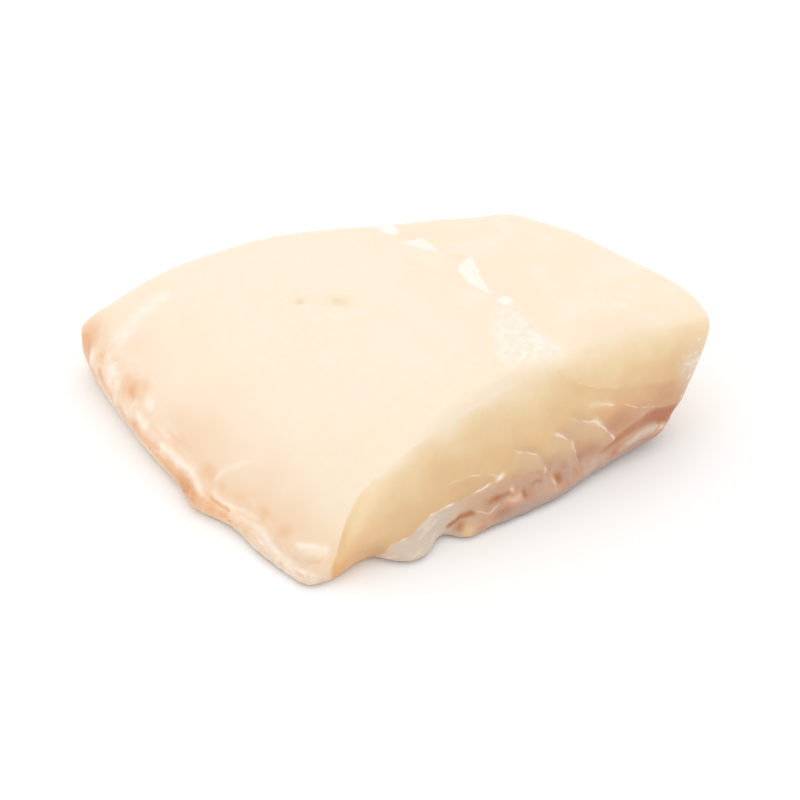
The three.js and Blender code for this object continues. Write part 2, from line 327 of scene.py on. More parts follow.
# Upper edge of the front cut, as (x, y), and its height, as (x, z)
CUT_EDGE = [(-44, -49), (-41.5, -47), (-39.2, -44.9), (-37.5, -43.5), (-35.2, -42), (-32, -41),
            (-28.5, -41.2), (-24.4, -42), (-19.6, -41.7), (-14.4, -41), (-9.2, -40.5), (-4, -39.9),
            (1.2, -39.4), (6.2, -39), (11.6, -38.8), (16.2, -38.2), (20, -37), (25, -36.2), (32, -36),
            (38, -36), (44.5, -36.3), (50.5, -37), (56, -39)]
CUT_TOP = [(-42, 3.5), (-39.2, 5.8), (-37.5, 8.3), (-35.2, 11.8), (-32, 15.8), (-28.5, 19.2),
           (-24.4, 21.9), (-19.6, 24.4), (-14.4, 26), (-9.2, 26.8), (-4, 27.7), (1.2, 28.6),
           (6.2, 29.3), (11.6, 30.4), (16.2, 31.2), (20, 31.5), (60, 31.2)]

# The fin edge's foot, as (x, y), from the tip to the back
FIN_LINE = [(-46, -47), (-49, -42), (-50.5, -35), (-51.5, -28), (-53, -21), (-56.5, -14.5),
            (-58, -8), (-58, 3), (-59, 12), (-59.3, 25), (-59.3, 43), (-58, 47)]

# Places on the fin edge, as (x, y, z)
# A faint wet ridge near the back end, painted pale: the highlight along its crest
RIDGE_HIGHLIGHT = [(-37.5, 38, 23.5), (-42.5, 37, 21.5), (-47, 37.5, 19), (-50, 36, 17), (-53.5, 36, 15),
          (-55.5, 36, 13)]
RIM_BAND = [(-57.4, 7.5, 7), (-57.2, 6, 7), (-56.7, 3, 7), (-55.7, -1, 7), (-54.7, -5, 6.5),
            (-55, -8.5, 5.5), (-55, -11.5, 5), (-55.5, -13.5, 4.5)]
PALE_CREASE = [(-52, -11, 6), (-49.5, -11, 8), (-46.5, -13, 10), (-43, -16, 12.5)]
CREAM_LINE = [(-52.5, -11.5, 5.5), (-52.7, -16, 5), (-51, -19.5, 4.7), (-49, -22.5, 4.5),
              (-47.5, -27, 4.6)]
PALE_BAND = [(-52, -19.5, 4.5), (-50, -25, 4), (-49, -28, 3.5), (-48.5, -31, 3.5), (-48.5, -36, 3),
             (-47.5, -40, 3), (-46, -44.5, 3), (-43, -45.5, 3)]
TIP_RIDGE = [(-45, -35, 4.2), (-44, -36.5, 4.4), (-42, -39.5, 4.7), (-39, -43.5, 6.3)]
TIP_STREAK = [(-44.5, -38.5, 3.7), (-42, -41, 4.2), (-40, -44, 5.3)]
RED_LINE = [(-54, -13.5, 5), (-53, -17, 4.5), (-52, -20.5, 4.5)]
TIP_PINK = [(-46.5, -37.5, 3.2), (-45, -40.5, 3.3), (-41.5, -44, 4)]
DARK_LINE = [(-49.5, -37, 2.5), (-48.5, -41, 2.5), (-47, -44, 2.5), (-45.5, -46, 2.5)]
AMBER_STRIP = [(-59, 35, 6), (-59, 29.5, 6), (-59, 23.5, 4.5), (-59, 16, 4.5), (-58.5, 8.5, 5),
               (-57.7, 3, 4.2), (-57.5, -2.5, 3.5), (-57.5, -8, 3.7), (-57, -11.5, 4)]
# Darker amber round the rounded back end, in part painted shade where the end rounds away
END_AMBER_AND_SHADE = [(-57.5, 47.5, 11.5), (-58, 46.5, 9.5), (-58.7, 44.5, 7.5), (-59, 41.5, 6),
             (-59, 38.5, 5)]

# Lines of the fin edge with their widths: pale bands with their height and paleness, red
# grooves with their redness and depth, and amber strips with their strength
PALE_BANDS = [(RIM_BAND, 1.0, 0.35, 0.52), (PALE_BAND, 1.1, 0.25, 0.38), (CREAM_LINE, 0.7, 0.18, 0.24),
              (TIP_RIDGE, 0.9, 0.20, 0.52), (TIP_STREAK, 0.7, 0.12, 0.22),
              (PALE_CREASE, 0.6, 0.15, 0.28), (RIDGE_HIGHLIGHT, 2.5, 0.15, 0.40)]
RED_GROOVES = [(RED_LINE, 0.55, 0.95, 0.25), (TIP_PINK, 0.7, 0.65, 0.10), (DARK_LINE, 0.5, 0.8, 0.15)]
AMBER_STRIPS = [(AMBER_STRIP, 1.5, 0.62), (END_AMBER_AND_SHADE, 3.2, 0.80)]

# Spots of the fin edge: the middle, the radii, and how strong. What an amber spot has over 1
# is brown.
LUMPS = [((-58.6, 40, 9), (1.3, 1.4, 2.6), 0.78), ((-57.5, 30.5, 11), (2, 3.2, 1.8), 0.42),
         ((-58.5, 29.5, 9.3), (1.5, 1.2, 1.2), 0.4), ((-59, 26, 6), (1.5, 1.0, 1.0), 0.4),
         ((-55.2, 14.3, 11.5), (1.6, 2.0, 2.0), 0.6), ((-57.5, 15, 8.5), (1.6, 2.2, 1.0), 0.6),
         ((-57.7, 12, 8), (1.4, 1.4, 1.2), 0.45)]
# The brown spot on the rounded back end, at (-58.3, 44, 9), is in part painted shade
AMBER_SPOTS = [((-57.3, -7.8, 3.8), (2.3, 5.6, 2.3), 1.5), ((-59, 34.5, 7.3), (1.6, 2.2, 1.7), 0.6),
               ((-54.8, -16.2, 3.6), (2.0, 3, 2.0), 0.7), ((-54, -19, 3), (1.6, 3, 1.6), 0.55),
               ((-57.5, 37, 11.5), (2.2, 3, 2.5), 0.4), ((-58.3, 44, 9), (2.2, 4.0, 3.5), 1.1),
               ((-59, 38, 5), (1.6, 2.5, 2.5), 0.8), ((-51, -25.5, 3.8), (2.0, 3.5, 1.6), 0.35),
               ((-58.9, 16, 5.4), (1.6, 3, 1.6), 0.8), ((-56.3, -13.5, 3.8), (1.6, 2, 1.6), 0.55)]
PEACH_SPOTS = [((-56.5, 22, 11), (3.5, 4.5, 4), 0.80), ((-55, 19, 13), (3, 3, 3), 0.4),
               ((-53.5, 1, 8.5), (5, 8, 4), 0.40), ((-45, -31.5, 4.5), (3.5, 3.5, 3), 0.60),
               ((-47, -25, 5), (3.5, 4, 3), 0.58), ((-49, -18, 5.5), (4, 4, 3), 0.5),
               ((-56.5, 44.5, 11), (5, 5.5, 6), 0.75), ((-51, -13.5, 6), (2.5, 2.5, 2.5), 0.5),
               ((-56.5, -13.5, 3.5), (1.5, 2, 1.5), 0.55), ((-53, -20, 3.2), (1.6, 3.5, 1.5), 0.8),
               ((-59, 34.5, 7.5), (1.8, 2.6, 2), 0.95), ((-51, 30, 15), (6, 7, 5), 0.20),
               ((-45.5, -38, 3.4), (1.6, 2.5, 1.5), 0.5), ((-52.5, -9, 7.5), (3.5, 5, 3), 0.62)]

# Places on the front cut, as (x, z). A lobe also has how far it stands out.
LOBES = [
    ([(19.2, 18.9), (21, 17.8), (23.2, 16.5), (25.9, 15.5), (27.6, 14), (29.2, 12), (30.9, 9.7),
      (31.8, 7.9)], 0.40),
    ([(15.2, 16), (16.8, 15.4), (18.2, 14.3), (19.9, 12.1), (20.8, 9.3), (21.3, 6.4), (20.7, 4.6)],
     0.45),
    ([(4.6, 15.4), (7.7, 14.2), (10.6, 12.4), (12.3, 9.7), (12.9, 7.5), (12.1, 6.5)], 0.45),
]
UPPER_SEPTUM = [(19, 31.3), (19.7, 28.9), (22.2, 26.3), (24.9, 24.3), (28.1, 22.7), (33.6, 20.8),
                (41.5, 19.2), (49.9, 17.9)]
WHITE_SEPTUM = [(24.7, 19.8), (26.8, 18.9), (29.6, 18.3), (32.2, 17.7)]
PINK_SEPTUM = [(32.2, 17.7), (34, 17.2), (36.2, 15.9), (39.9, 13.9), (44.1, 12.5), (47.5, 11.8)]
FILM_EDGE = [(1.5, 10.2), (-0.9, 9.8), (-3.5, 9), (-8.5, 8.6), (-12.7, 8.2), (-15.2, 7.8),
             (-17.8, 7.1), (-20.2, 6.1), (-22.4, 5.5), (-24.8, 5.2), (-27.2, 4.5), (-29, 2.5)]
FLAKE_LINE = [(-13.6, 12.2), (-11.1, 13.2), (-7.9, 13.2), (-4.7, 12.9), (-1.7, 12.2), (1.5, 10.2)]
FOLD_DARK = [(-13.3, 2.6), (-12.3, 3.6), (-10.8, 4.6), (-9.3, 5.2), (-7.3, 5.3), (-5.7, 4.6)]
FOLD_RIM = [(-7.2, 5.8), (-4.6, 4.7), (-3.6, 4.2), (-1.4, 4.5), (0.5, 4.9)]
LOBE_SHINE = [(-8.7, 4.2), (-9.3, 3.4), (-9.8, 2.6)]
THIN_DARK = [(8.6, 5.3), (10.3, 5.8), (12.2, 5.4)]
WEDGE = [(50, 10.5), (48.1, 11.2), (45.2, 12.1), (43, 12.2), (38.6, 11.7), (33.8, 10.4), (31, 8.4),
         (28.4, 6.2), (32.8, 7.6), (35.3, 8.4), (39, 8.7), (42.1, 8.7), (45, 7.7), (49, 7.5)]
ROLL = [(32, 5), (33.8, 5.8), (36.3, 6.5), (39.4, 7.3), (41.6, 7.4), (43.6, 7.2)]
SKIN_LINE = [(-7.2, 1.4), (-1, 2.2), (6.8, 2.3), (13.9, 1.9), (19.9, 1.7), (25, 2.1), (31.6, 2.8),
             (36.5, 2.5), (41.5, 2.8)]

# Spots of the cut: the middle, half length, half width, turn, and how strong
# Glints: in part pale tissue, in part painted highlights where the wet flakes catch the light
GLINTS = [((26.9, 14.9), 1.2, 0.6, -0.5, 0.55), ((30.3, 10.4), 0.5, 1.0, 0, 0.12),
          ((16.8, 15.3), 1.3, 0.4, -0.3, 0.32), ((20, 11.8), 0.4, 1.0, 0, 0.35),
          ((12.9, 7.6), 0.45, 0.9, 0, 0.5), ((1.5, 10.3), 1.1, 0.65, 0.2, 0.75),
          ((4.2, 6.1), 0.6, 0.6, 0, 0.35), ((14.4, 4.7), 0.5, 1.2, 0, 0.28),
          ((4, 4.5), 1.9, 0.7, 0, 0.28), ((43.2, 7.5), 0.6, 0.3, 0.4, 0.5),
          ((44.4, 6.9), 1.3, 0.8, 0.9, 0.45), ((-27.5, 2), 1.2, 0.4, 0.3, 0.35),
          ((21.5, 5.4), 0.4, 1.3, 0.1, 0.12), ((24.3, 5.6), 0.4, 0.9, -0.1, 0.10)]
# Slots: the gaps between the flakes, their darkness in part painted shade
SLOTS = [((-0.1, 5.8), 2.3, 0.6, 0.0, 0.95), ((0.6, 3.2), 2.8, 0.8, 0.1, 0.8),
         ((6.8, 4.7), 0.6, 0.8, 0.0, 0.95), ((16, 5), 0.9, 0.9, -0.2, 0.95),
         ((2.4, 5.7), 2.2, 0.5, 0.1, 0.6), ((-10.5, 3.4), 1.7, 0.8, 0.8, 0.75),
         ((21.2, 4.4), 1.6, 1.2, 0.0, 0.28), ((17.5, 3.1), 1.8, 1.0, 0.1, 0.28),
         ((-5.5, 2.2), 2.0, 0.8, 0.1, 0.30), ((8.2, 4.6), 1.4, 1.0, 0.0, 0.30)]
# Beads: pale specks along the thick end, painted highlights of moisture beads
BEAD_HIGHLIGHTS = [((51.9, 17.3), 0.9, 0.35, 0.9, 0.60), ((50.2, 12.8), 0.5, 0.3, 0.3, 0.45),
         ((53.5, 23.4), 0.7, 0.3, 0.6, 0.50), ((54.3, 26.6), 0.4, 0.3, 0.0, 0.35),
         ((52.6, 20.1), 0.4, 0.35, 1.2, 0.50), ((51.0, 15.1), 0.35, 0.25, 0.4, 0.40)]
DEEPER_SPOTS = [((32, 13.3), 3.2, 3.2, -0.3, 0.16), ((38, 14), 5.0, 2.2, -0.2, 0.08),
                ((17.8, 8), 1.6, 3.2, 0.0, 0.06), ((21, 16.5), 3, 2.5, 0.0, 0.08),
                ((25, 8.5), 2.6, 3.2, 0.0, 0.12)]
PINK_SPOTS = [((35, 13.8), 6.5, 3.2, -0.25, 0.78), ((45, 15.5), 5, 3, 0, 0.24),
              ((29, 8), 4.5, 3.5, 0, 0.38), ((25, 13), 5, 4, 0, 0.22)]
GREY_SPOTS = [((36.5, 13.6), 5.0, 2.4, -0.25, 0.30)]

# The small lobe at the foot of the cut that the dark fold goes round
LOW_LOBE = ((-8.8, 2.2), 1.6, 1.8, -0.4)

# Dark folds of the cut, darker in part as painted shade in the folds: the line, its width, how dark,
# and how deep
DARK_FOLDS = [(FOLD_DARK, 0.5, 0.95, 0.40), (THIN_DARK, 0.4, 0.6, 0.15)]

# Thin pale lines on the cut: the places, and how pale at the start and at the end
THREADS = [
    (LOBES[0][0], 0.30, 0.55), (LOBES[1][0], 0.50, 0.35), (LOBES[2][0], 0.30, 0.50),
    (FILM_EDGE, 0.55, 0.45), (FLAKE_LINE, 0.12, 0.40), (PINK_SEPTUM, 0.30, 0.22),
    (WHITE_SEPTUM, 0.25, 0.35), (FOLD_RIM, 0.30, 0.20), (UPPER_SEPTUM[2:6], 0.15, 0.20),
]
THREAD_REACH = 2.0

# The top lies higher than this
TOP_CROWN = 24

# Turned so that the fan's wrinkles cross it
FAN_GRAIN = np.array([[0.8, -0.6, 0], [0.6, 0.8, 0], [0, 0, 1]])

# Turned so that streaks of noise run down along the loose film
FILM_GRAIN = np.array([[0.94, 0, -0.34], [0, 1, 0], [0.34, 0, 0.94]])


def seam_x(y):
    line = np.array(SEAM)[::-1]
    return np.interp(y, line[:, 1], line[:, 0])


def along_line(value, line):
    """The second number of a line's places at a value of the first."""
    line = np.array(line)
    return np.interp(value, line[:, 0], line[:, 1])


def past_edge(places):
    """How far a place lies past the cut's upper edge, over it and down the cut."""
    x, y, z = places.T
    return along_line(x, CUT_EDGE) - y + along_line(x, CUT_TOP) - z


def from_fin(places):
    """How far a place lies inside the fin edge's foot."""
    return places[:, 0] - along_line(places[:, 1], [(y, x) for x, y in FIN_LINE])


def ellipse(places, centre, long, wide, turn):
    """Distance from a centre, counted in ellipse radii."""
    dx, dy = (places - centre).T
    a = dx * math.cos(turn) + dy * math.sin(turn)
    b = dy * math.cos(turn) - dx * math.sin(turn)
    return np.hypot(a / long, b / wide)


class Flesh:
    """Works out the relief and the tissue of the whole surface."""

    def __init__(self, places, normals):
        self.places = places
        self.x, self.y, self.z = places.T
        self.normals = normals
        self.height = np.zeros(len(places))

        # Places moved about a little: all of them, those seen from above, and those of the cut
        coarse = ragged(places, reach=0.35, pitch=3.5, seed=30)
        self.ragged = ragged(coarse, reach=0.2, pitch=1.2, seed=39)
        self.plan = ragged(places, reach=0.35, pitch=2.5, seed=33)[:, :2]
        self.face = ragged(places, reach=0.3, pitch=2.4, seed=36)[:, [0, 2]]

        # How far a place belongs to the cut. Its edge is crisp on the fin side of the seam, and it
        # ends where the surface turns to the loin side or down.
        soft = mix(CRISP_EDGE, SOFT_EDGE, ease(self.x, *EDGE_SOFTENS_X))
        self.cut = ease(past_edge(places), -soft, soft) * ease(self.x, *CUT_BEGINS_X)
        uneven = 1.5 * noise(places, pitch=(4, 4, 5), seed=26)
        behind = self.y - along_line(self.x, CUT_EDGE) + uneven
        sideways = normals[:, 0] / np.maximum(np.hypot(normals[:, 0], normals[:, 1]), 1e-3)
        elsewhere = np.maximum(ease(sideways, 0.75, 0.95), ease(-normals[:, 2], 0.3, 0.7))
        self.cut *= 1 - elsewhere * ease(behind, -4, 3)

        # How far it belongs to the back end, the top and the fin edge
        self.rear = ease(normals[:, 1], 0.35, 0.75) * ease(self.y, *REAR_BEGINS_Y)
        self.up = ease(normals[:, 2], 0.1, 0.5) * (1 - self.cut)
        self.inwards = from_fin(places)
        self.fin = (1 - ease(self.inwards, *FIN_ENDS)) * (1 - self.cut)
        for name in LAYERS:
            setattr(self, name, np.zeros(len(places)))

    def raise_to(self, name, amount):
        setattr(self, name, np.maximum(getattr(self, name), amount))

    def line(self, flat, points, fade=0.15):
        """Distance from a line, its side, and 1 along it with faded ends."""
        distance, side, along = measure(flat, curve(points))
        return distance, side, taper(along, fade)

    def from_spot(self, centre, radii):
        """Distance from a spot's middle, counted in its radii."""
        return np.linalg.norm((self.ragged - centre) / np.array(radii), axis=1)

    def on_cut(self, centre, long, wide, turn, width=1.0):
        """1 at the middle of a spot on the cut, fading over its size."""
        return self.cut * bell(ellipse(self.face, centre, long, wide, turn), width)

    def broad_tone(self):
        """Ivory on top; beige to tan, deeper downwards, on the cut and at the back; the cut's paler
        upper part is in part painted light.
        """
        x, z = self.x, self.z
        soft = noise(self.places, pitch=14, seed=1)
        self.height += SWELL * soft * self.up + UNEVENNESS * noise(self.places, pitch=5, seed=2)

        # The cut: deeper downwards and towards the loin, and paler low on the fin side. Its paleness
        # near the top edge is in part painted light shining into the flesh from the top.
        down = np.clip(1 - z / along_line(x, CUT_TOP), 0, 1)
        cut_tone = 0.17 + 0.61 * down**0.62 + 0.08 * ease(down, 0.55, 0.8)
        fin_side = 1 - ease(x, -22, -8)
        loin_side = ease(x, 30, 46)
        cut_tone -= 0.09 * fin_side * ease(down, 0.2, 0.7)
        cut_tone += 0.17 * loin_side * ease(down, 0.1, 0.5)
        cut_tone += 0.05 * noise(self.places, pitch=(9, 9, 4), seed=3)
        # Darker just past the edge towards the fin tip: painted shade, where the edge turns away from
        # the light
        near_edge = bell(past_edge(self.places), 4)
        tip_painted_shade = 0.14 * (1 - ease(x, -32, -24)) + 0.18 * (1 - ease(x, -39, -32))
        cut_tone += near_edge * tip_painted_shade

        # The rest: ivory on top, beige where it turns down
        side_tone = 0.22 + 0.4 * (1 - np.clip(z / 26, 0, 1))
        top_tone = 0.03 + 0.03 * soft + 0.08 * ease(-z, -TOP_CROWN, -4)
        turned = (1 - ease(self.normals[:, 2], 0.0, 0.6)) * (1 - self.fin)
        top_tone = mix(top_tone, side_tone, turned)
        top_tone = mix(top_tone, side_tone, self.rear * 0.8)
        self.tone = mix(top_tone, cut_tone, self.cut)

        # Amber in the corner at the fin tip, and a pale lower rim beside it
        corner = self.cut * (1 - ease(x, -37, -28)) * ease(down, 0.1, 0.6)
        # The corner's tone is paler low down than the cut's gradient: in part painted light against the
        # shade under the overhang
        self.tone = mix(self.tone, 0.48, corner)
        self.raise_to("amber", (0.46 + 0.40 * (1 - ease(x, -40, -36))) * corner)
        low_rim = ease(-z, -4.5, -2) * self.fin * (1 - ease(self.y, -26, -20))
        self.raise_to("film", 0.45 * low_rim)
        self.raise_to("tissue", 0.18 * low_rim * bell(self.y + 39, 6))

        # Pale patches on the top, more of them past the seam
        patches = ease(noise(self.places, pitch=(6, 9, 6), seed=24), 0.0, 0.7)
        self.raise_to("tissue", (0.08 + 0.08 * ease(x, 10, 24)) * patches * self.up)
        self.tone += 0.05 * self.up * ease(-self.y, 15, 38)

    def seam(self):
        """The groove between the muscle blocks, and the white tissue that lies in it."""
        d, _, fade = self.line(self.plan, SEAM)
        self.height -= SEAM_DEPTH * bell(d, 1.0) * fade * self.up
        d, side, fade = self.line(self.plan, CREASE)
        fade = fade * self.up
        lip = CREASE_LIP_HEIGHT * bell(d, 2.0) * (side < 0)
        self.height += fade * (lip - CREASE_DEPTH * bell(d, 0.5))
        # Darker along the crease: painted shade
        self.tone += 0.08 * bell(d, 0.8) * fade
        for outline in WEDGES:
            inside = patch(self.plan, outline, soft=0.4) * self.up
            self.raise_to("tissue", 0.72 * inside)
            self.height += WHITE_WEDGE_HEIGHT * inside

    def fan(self):
        """The crumpled film that lies over the seam at the front."""
        inside = patch(self.plan, FAN, soft=2.3) * (1 - 0.7 * self.cut)
        turned = self.places @ FAN_GRAIN
        wrinkle = noise(turned, pitch=(3.0, 1.1, 4), seed=4)
        wrinkle += 0.7 * noise(turned, pitch=(1.5, 0.8, 2), seed=5)
        self.height += FAN_HEIGHT * wrinkle * inside
        # The film is paler on the wrinkles' crests, a painted highlight, and darker in their troughs, a
        # painted shade
        self.raise_to("tissue", inside * (0.26 + 0.34 * ease(wrinkle, -0.3, 0.8)))
        near_border, _, _ = measure(self.plan, curve(FAN_BORDER))
        self.raise_to("tissue", 0.62 * inside * bell(near_border - 0.8, 1.1))
        self.tone += 0.08 * inside * ease(-wrinkle, 0.1, 0.6)
        self.raise_to("wet", 0.6 * inside)
        # Pale flecks past the seam: painted highlights of wet sheen, over small crumples
        crumple = noise(self.places, pitch=1.6, seed=15)
        for centre, long, wide in SHEEN_FLECKS:
            fleck = bell(ellipse(self.plan, centre, long, wide, SHEEN_FLECK_TURN), 0.9)
            self.raise_to("tissue", fleck * (0.12 + 0.22 * ease(crumple, -0.2, 0.6)))
            self.height += FLECK_HEIGHT * crumple * fleck

    def dents(self):
        """Two pits in the hollow on the top, and a pale ridge in front of them."""
        for centre, long, wide, deep, dark in DENTS:
            r = ellipse(self.plan, centre, long, wide, DENT_TURN)
            self.height -= deep * bell(r, 1.0) * self.up
            # Darker in the pits: painted shade
            self.tone += dark * bell(r, 0.9) * self.up
        d, _, fade = self.line(self.plan, DENT_RIDGE, fade=0.25)
        self.height += DENT_RIDGE_HEIGHT * bell(d, 0.9) * fade * self.up
        self.raise_to("tissue", 0.25 * bell(d, 0.6) * fade * self.up)

    def fin_wash(self):
        """Peach flesh towards the thin edge, stronger at the front."""
        y, fin, inwards = self.y, self.fin, self.inwards
        weaker = ease(y, *WASH_WEAKENS_Y)
        width = mix(WASH_WIDTH_FRONT, WASH_WIDTH_BACK, weaker)
        wash = 0.42 * (1 - 0.45 * weaker) * (1 - ease(inwards / width, 0.05, 1))
        wash *= 1 - ease(y, *WASH_ENDS_Y)
        wash *= 1 + 0.35 * noise(self.places, pitch=6, seed=6)
        self.raise_to("pink", wash * fin)
        for centre, radii, much in PEACH_SPOTS:
            r = self.from_spot(centre, radii)
            self.raise_to("pink", much * bell(r, 0.9) * fin)

        # Streaks along the edge, as the flesh thins out
        grain = np.stack([inwards, 0.16 * y, 0.5 * self.z], axis=1)
        streak = noise(grain, pitch=1.1, seed=21) + 0.5 * noise(grain, pitch=0.6, seed=22)
        near = bell(np.maximum(inwards - 2, 0), 4) * (1 - ease(y, 4, 14)) * fin
        self.height += FIN_STREAK_HEIGHT * streak * near
        self.raise_to("tissue", 0.20 * near * ease(streak, 0.05, 0.6))
        self.pink += 0.12 * near * ease(-streak, 0.05, 0.6)

    def fin_edge(self):
        """The rolled rim, the folds and the pale tissue along the thin edge."""
        fin = self.fin
        ripple = 1 + 0.35 * noise(self.places, pitch=3, seed=7)
        for points, width, tall, pale in PALE_BANDS:
            d, _, fade = self.line(self.ragged, points, fade=0.18)
            self.height += tall * bell(d, width) * fade * ripple * fin
            self.pink *= 1 - 0.6 * bell(d, width) * fade * fin
            self.raise_to("tissue", pale * bell(d, width * 0.9) * fade * ripple * (1 - self.cut))
        for points, width, red, deep in RED_GROOVES:
            d, _, fade = self.line(self.ragged, points, fade=0.15)
            self.raise_to("pink", red * bell(d, width) * fade * fin)
            self.tissue *= 1 - 0.8 * bell(d, width) * fade * fin
            self.height -= deep * bell(d, width) * fade * fin
        for points, width, strong in AMBER_STRIPS:
            d, _, fade = self.line(self.ragged, points, fade=0.06)
            self.raise_to("amber", strong * bell(d, width) * fade * fin)
            self.tissue *= 1 - bell(d, width * 0.7) * fade * fin
        for centre, radii, much in AMBER_SPOTS:
            r = self.from_spot(centre, radii)
            self.raise_to("amber", min(much, 1) * bell(r, 0.9) * fin)
            self.raise_to("slot", max(much - 1, 0) * bell(r, 0.8) * fin)
            self.tissue *= 1 - min(much, 1) * bell(r, 0.8) * fin
        for centre, radii, pale in LUMPS:
            r = self.from_spot(centre, radii)
            self.height += LUMP_HEIGHT * bell(r, 0.9) * fin
            self.pink *= 1 - 0.7 * bell(r, 0.9) * fin
            self.amber *= 1 - 0.7 * bell(r, 0.9) * fin
            self.raise_to("tissue", pale * bell(r, 0.8) * fin)

        # Lumpy folds behind the knob, with shreds of membrane on them and on the rim
        folds = noise(self.places, pitch=(3, 2.2, 2.2), seed=9)
        lumpy = bell(self.inwards - 2, 4) * fin
        lumpy *= ease(self.y, *FOLDS_BEGIN_Y) * (1 - ease(self.y, *FOLDS_END_Y))
        self.height += FIN_FOLD_HEIGHT * folds * lumpy
        self.raise_to("tissue", 0.20 * lumpy * ease(folds, 0.1, 0.7))
        self.pink += 0.12 * lumpy * ease(-folds, 0.0, 0.6)
        grain = noise(self.places, pitch=1.8, seed=8)
        self.height += FIN_GRAIN_HEIGHT * grain * bell(self.inwards, 5) * fin
        rim = bell(np.maximum(self.inwards - 1.5, 0), 2.5) * ease(-self.y, -12, -4)
        clumps = ease(noise(self.places, pitch=3.5, seed=25), -0.2, 0.5)
        self.shreds = np.clip(0.45 * lumpy * clumps + 0.5 * rim * clumps, 0, 1) * fin
        self.raise_to("wet", 0.6 * bell(self.inwards, 5) * fin)

    def cut_flakes(self):
        """Flake lobes and septa on the front cut."""
        cut, face = self.cut, self.face
        for points, proud in LOBES:
            d, side, fade = self.line(face, points, fade=0.12)
            inner = np.where(side < 0, d, -d)
            self.height += cut * fade * proud * ease(inner, -0.5, 0.5) * bell(np.maximum(inner, 0), 4)
            self.tone += 0.10 * cut * fade * bell(inner + 1.0, 1.3)
            self.raise_to("film", 0.26 * cut * fade * bell(inner - 2.0, 2.6))
        d, side, fade = self.line(face, UPPER_SEPTUM, fade=0.1)
        over = np.where(side > 0, d, -d)
        self.height += cut * SEPTUM_HEIGHT * ease(over, -0.6, 0.6) * bell(d, 4) * fade
        self.tone += 0.08 * cut * ease(-over, -0.4, 0.8) * bell(d, 3) * fade
        d, _, fade = self.line(face, WHITE_SEPTUM, fade=0.25)
        self.raise_to("tissue", 0.20 * cut * bell(d, 0.7) * fade)
        self.height += SEPTUM_HEIGHT * cut * bell(d, 0.7) * fade
        for *shape, much in DEEPER_SPOTS:
            self.tone += much * self.on_cut(*shape)
        for *shape, much in PINK_SPOTS:
            self.raise_to("pink", much * self.on_cut(*shape))
        for *shape, much in GREY_SPOTS:
            self.raise_to("film", much * self.on_cut(*shape))

    def stained_wedge(self):
        """The brown, hollow wedge and the rolled fold under it, at the thick end's foot."""
        cut, face = self.cut, self.face
        inside = patch(face, WEDGE, soft=0.9)
        self.height -= BROWN_WEDGE_DEPTH * cut * inside
        self.raise_to("stain", (0.60 + 0.10 * ease(self.x, 36, 44)) * cut * inside)
        self.raise_to("pink", 0.20 * cut * inside)
        d, _, fade = self.line(face, ROLL, fade=0.12)
        self.height += ROLL_HEIGHT * cut * bell(d, 1.3) * fade
        self.tone = mix(self.tone, 0.93, cut * bell(d, 1.7))
        self.stain *= 1 - cut * bell(d, 1.0) * fade
        self.raise_to("film", 0.72 * cut * bell(d, 1.7) * fade * ease(self.x, 31, 38))
        # A narrow paler line on the roll's crest: painted highlight
        self.raise_to("tissue", 0.14 * cut * bell(d, 0.8) * fade)
        foot = ease(self.x, *FOOT_ENDS_X) * ease(-self.z, -6.2, -5) * cut
        self.raise_to("pink", 0.15 * foot * (1 - bell(d, 1.1)))
        self.raise_to("film", 0.24 * foot)
        self.raise_to("stain", 0.20 * foot * (1 - bell(d, 1.6)))
        self.raise_to("wet", 0.9 * cut * bell(d, 2.2))

    def loose_film(self):
        """The grey film that hangs out along the foot of the cut."""
        cut, face, x = self.cut, self.face, self.x
        d, side, _ = self.line(face, FILM_EDGE)
        below = np.where(side > 0, d, -d)
        reach = ease(x, *FILM_BEGINS_X) * (1 - ease(x, *FILM_ENDS_X))
        strip = ease(below, -0.15, 0.35) * reach
        self.height += cut * FILM_HEIGHT * ease(below, -0.35, 0.35) * bell(d, 2.0) * reach
        streak = noise(self.places @ FILM_GRAIN, pitch=(6, 6, 0.9), seed=19)
        self.raise_to("film", cut * strip * mix(0.25, 0.95, ease(-x, 5, 15)) * (1 - 0.15 * streak))
        self.raise_to("tissue", 0.20 * cut * strip * ease(streak, 0.1, 0.7) * ease(-x, 8, 14))
        self.height += FILM_STREAK_HEIGHT * streak * cut * strip
        d, side, fade = self.line(face, FLAKE_LINE, fade=0.25)
        self.height += FLAKE_LINE_HEIGHT * cut * bell(d, 0.6) * fade
        self.tone += 0.07 * cut * bell(d - 1.5, 1.6) * (side < 0) * fade

    def foot(self):
        """Greyer, pinker flesh low on the cut, with the gaps between its flakes and the skin's edge."""
        cut, face, x, z = self.cut, self.face, self.x, self.z
        low = ease(-z, -10, -5) * ease(x, *FOOT_BEGINS_X) * (1 - ease(x, *FOOT_ENDS_X)) * cut
        self.raise_to("pink", 0.06 * low)
        self.raise_to("film", (0.40 + 0.30 * bell(np.hypot(x - 24.5, z - 4.5), 3)) * low)
        self.tone += (0.12 + 0.08 * bell(np.hypot(x - 23, z - 4), 5)) * low
        self.height += FOOT_HEIGHT * low * noise(self.places, pitch=3, seed=12)
        streaks = ease(noise(self.places, pitch=(1.4, 4, 2.5), seed=23), 0.1, 0.7)
        self.raise_to("tissue", 0.10 * low * streaks * ease(x, 15, 20))

        # The skin's grey edge, darkest right at the bottom
        above_skin = z - along_line(x, SKIN_LINE)
        band = ease(-above_skin, -1.8, -0.4) * ease(x, -6, 1) * cut
        self.raise_to("skin", 0.60 * band)
        dark = ease(-z, -0.8, -0.2) * ease(x, -6, 2) * cut
        self.raise_to("skin", dark)

